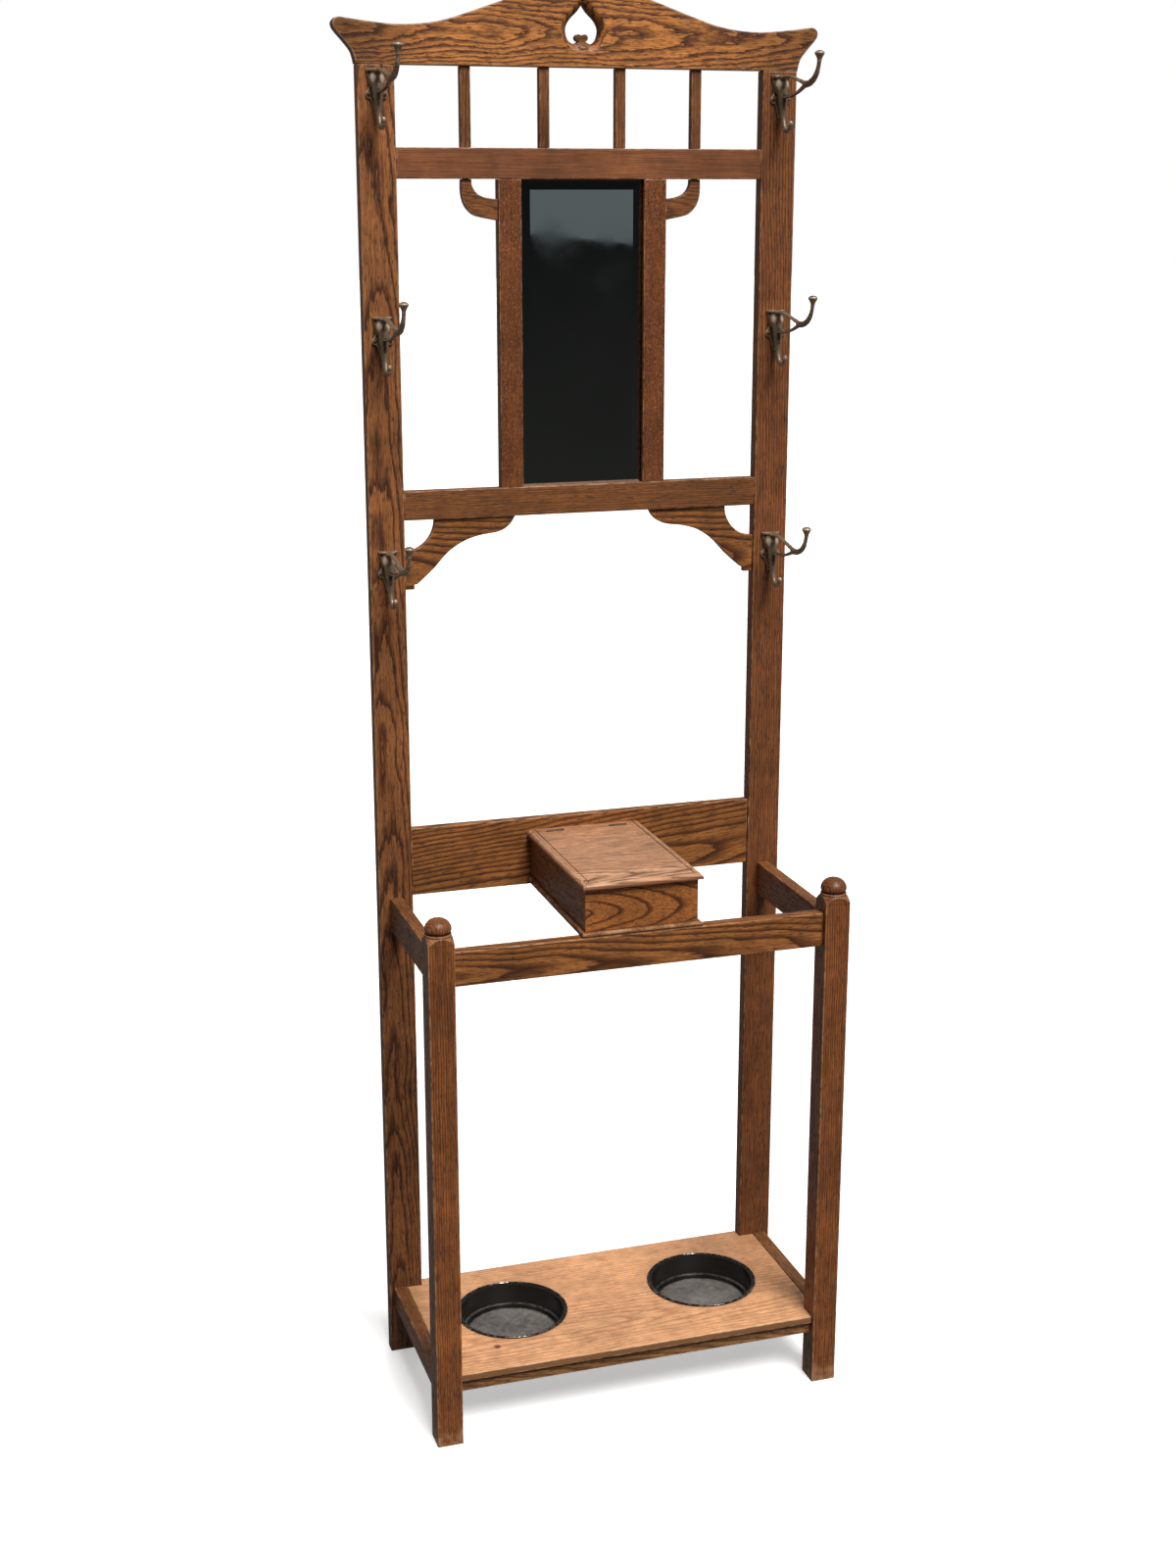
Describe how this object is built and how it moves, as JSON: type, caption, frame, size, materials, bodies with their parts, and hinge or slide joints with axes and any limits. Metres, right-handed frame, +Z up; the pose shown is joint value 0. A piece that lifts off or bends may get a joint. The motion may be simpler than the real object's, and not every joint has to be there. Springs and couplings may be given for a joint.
{
  "type": "hall tree with coat hooks and umbrella stand",
  "caption": "Tall oak hall tree: shaped crest with an inverted heart, narrow bevelled mirror, bronze hat-and-coat hooks, lidded glove box and an umbrella stand with drip pans.",
  "frame": {"origin": "on the floor, at the middle of the bounding box in width and depth", "axes": "+Z up, the front faces -Y, +X to the right of someone facing the stand"},
  "size_m": [0.6802, 0.297, 1.98],
  "materials": {
    "oak": "dark-stained oak, old shellac with a low sheen",
    "crest_oak": "golden-brown figured oak, low sheen",
    "worn_oak": "worn pale oak, nearly matt",
    "backboard_wood": "plain unfinished board",
    "mirror_glass": "silvered plate with a bevelled edge",
    "hook_bronze": "cast, bronzed, worn on the high spots",
    "screw_brass": "aged brass",
    "hinge_brass": "aged brass",
    "japanned_tin": "black japanned tin, worn gloss"
  },
  "bodies": {
    "frame": {"back_post_left": "oak", "back_post_right": "oak", "box_back": "oak", "box_base": "oak", "box_front": "oak", "box_side_left": "oak", "box_side_right": "oak", "crest_board": "crest_oak", "front_leg_left": "oak", "front_leg_right": "oak", "front_rail": "oak", "hinge_fixed_leaf_left": "hinge_brass", "hinge_fixed_leaf_right": "hinge_brass", "hook_low_left": "hook_bronze", "hook_low_right": "hook_bronze", "hook_middle_left": "hook_bronze", "hook_middle_right": "hook_bronze", "hook_top_left": "hook_bronze", "hook_top_right": "hook_bronze", "knee_bracket_left": "oak", "knee_bracket_right": "oak", "lid_strip": "oak", "lower_back_panel": "oak", "lower_back_rail": "oak", "lower_front_rail": "oak", "lower_side_rail_left": "oak", "lower_side_rail_right": "oak", "mid_rail": "oak", "mirror_backboard": "backboard_wood", "mirror_glass": "mirror_glass", "mirror_stile_left": "oak", "mirror_stile_right": "oak", "screw_low_left_a": "screw_brass", "screw_low_left_b": "screw_brass", "screw_low_right_a": "screw_brass", "screw_low_right_b": "screw_brass", "screw_middle_left_a": "screw_brass", "screw_middle_left_b": "screw_brass", "screw_middle_right_a": "screw_brass", "screw_middle_right_b": "screw_brass", "screw_top_left_a": "screw_brass", "screw_top_left_b": "screw_brass", "screw_top_right_a": "screw_brass", "screw_top_right_b": "screw_brass", "shelf_board": "worn_oak", "side_rail_left": "oak", "side_rail_right": "oak", "slat_1": "oak", "slat_2": "oak", "slat_3": "oak", "slat_4": "oak", "swan_neck_left": "oak", "swan_neck_right": "oak", "upper_rail": "oak"},
    "lid": {"box_lid": "oak", "hinge_lid_leaf_left": "hinge_brass", "hinge_lid_leaf_right": "hinge_brass"},
    "pan_left": {"drip_pan_left": "japanned_tin"},
    "pan_right": {"drip_pan_right": "japanned_tin"}
  },
  "joints": [
    {"name": "lid_hinge", "type": "hinge", "parent": "frame", "child": "lid", "pos_m": [0, 0.1152, 0.813], "axis": [-1, 0, 0], "range_deg": [0, 95]},
    {"name": "drip_pan_left_lift", "type": "slide", "parent": "frame", "child": "pan_left", "axis": [0, 0, 1], "range_m": [0, 0.06]},
    {"name": "drip_pan_right_lift", "type": "slide", "parent": "frame", "child": "pan_right", "axis": [0, 0, 1], "range_m": [0, 0.06]}
  ]
}
